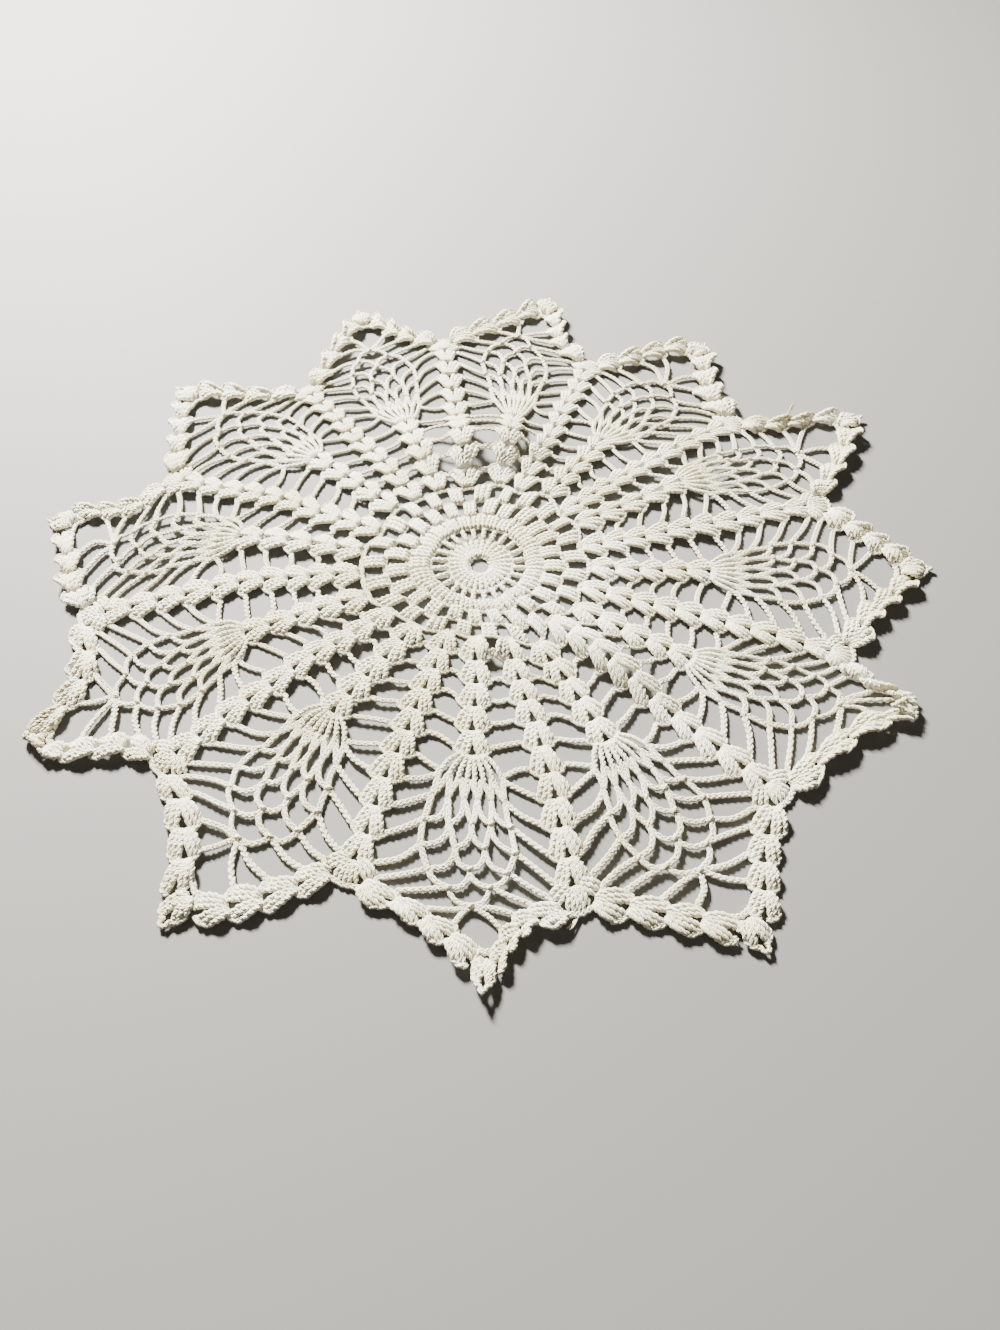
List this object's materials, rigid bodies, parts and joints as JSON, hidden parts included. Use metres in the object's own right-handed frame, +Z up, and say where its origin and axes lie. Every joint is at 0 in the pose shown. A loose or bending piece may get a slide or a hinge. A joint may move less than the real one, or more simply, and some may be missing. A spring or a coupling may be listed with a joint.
{
  "type": "lace doily",
  "caption": "Round crocheted cotton doily with pineapple points around a solid centre, lying flat with curled, unevenly pulled edges.",
  "frame": {"origin": "bottom centre of the bounding box, on the surface that the doily lies on", "axes": "+Z up, out of the doily's right side; +X to the right and +Y away, as it is seen lying on a table"},
  "size_m": [0.4896, 0.4644, 0.0146],
  "materials": {
    "cotton": "matte"
  },
  "bodies": {
    "root": {"doily": "cotton"}
  },
  "joints": []
}
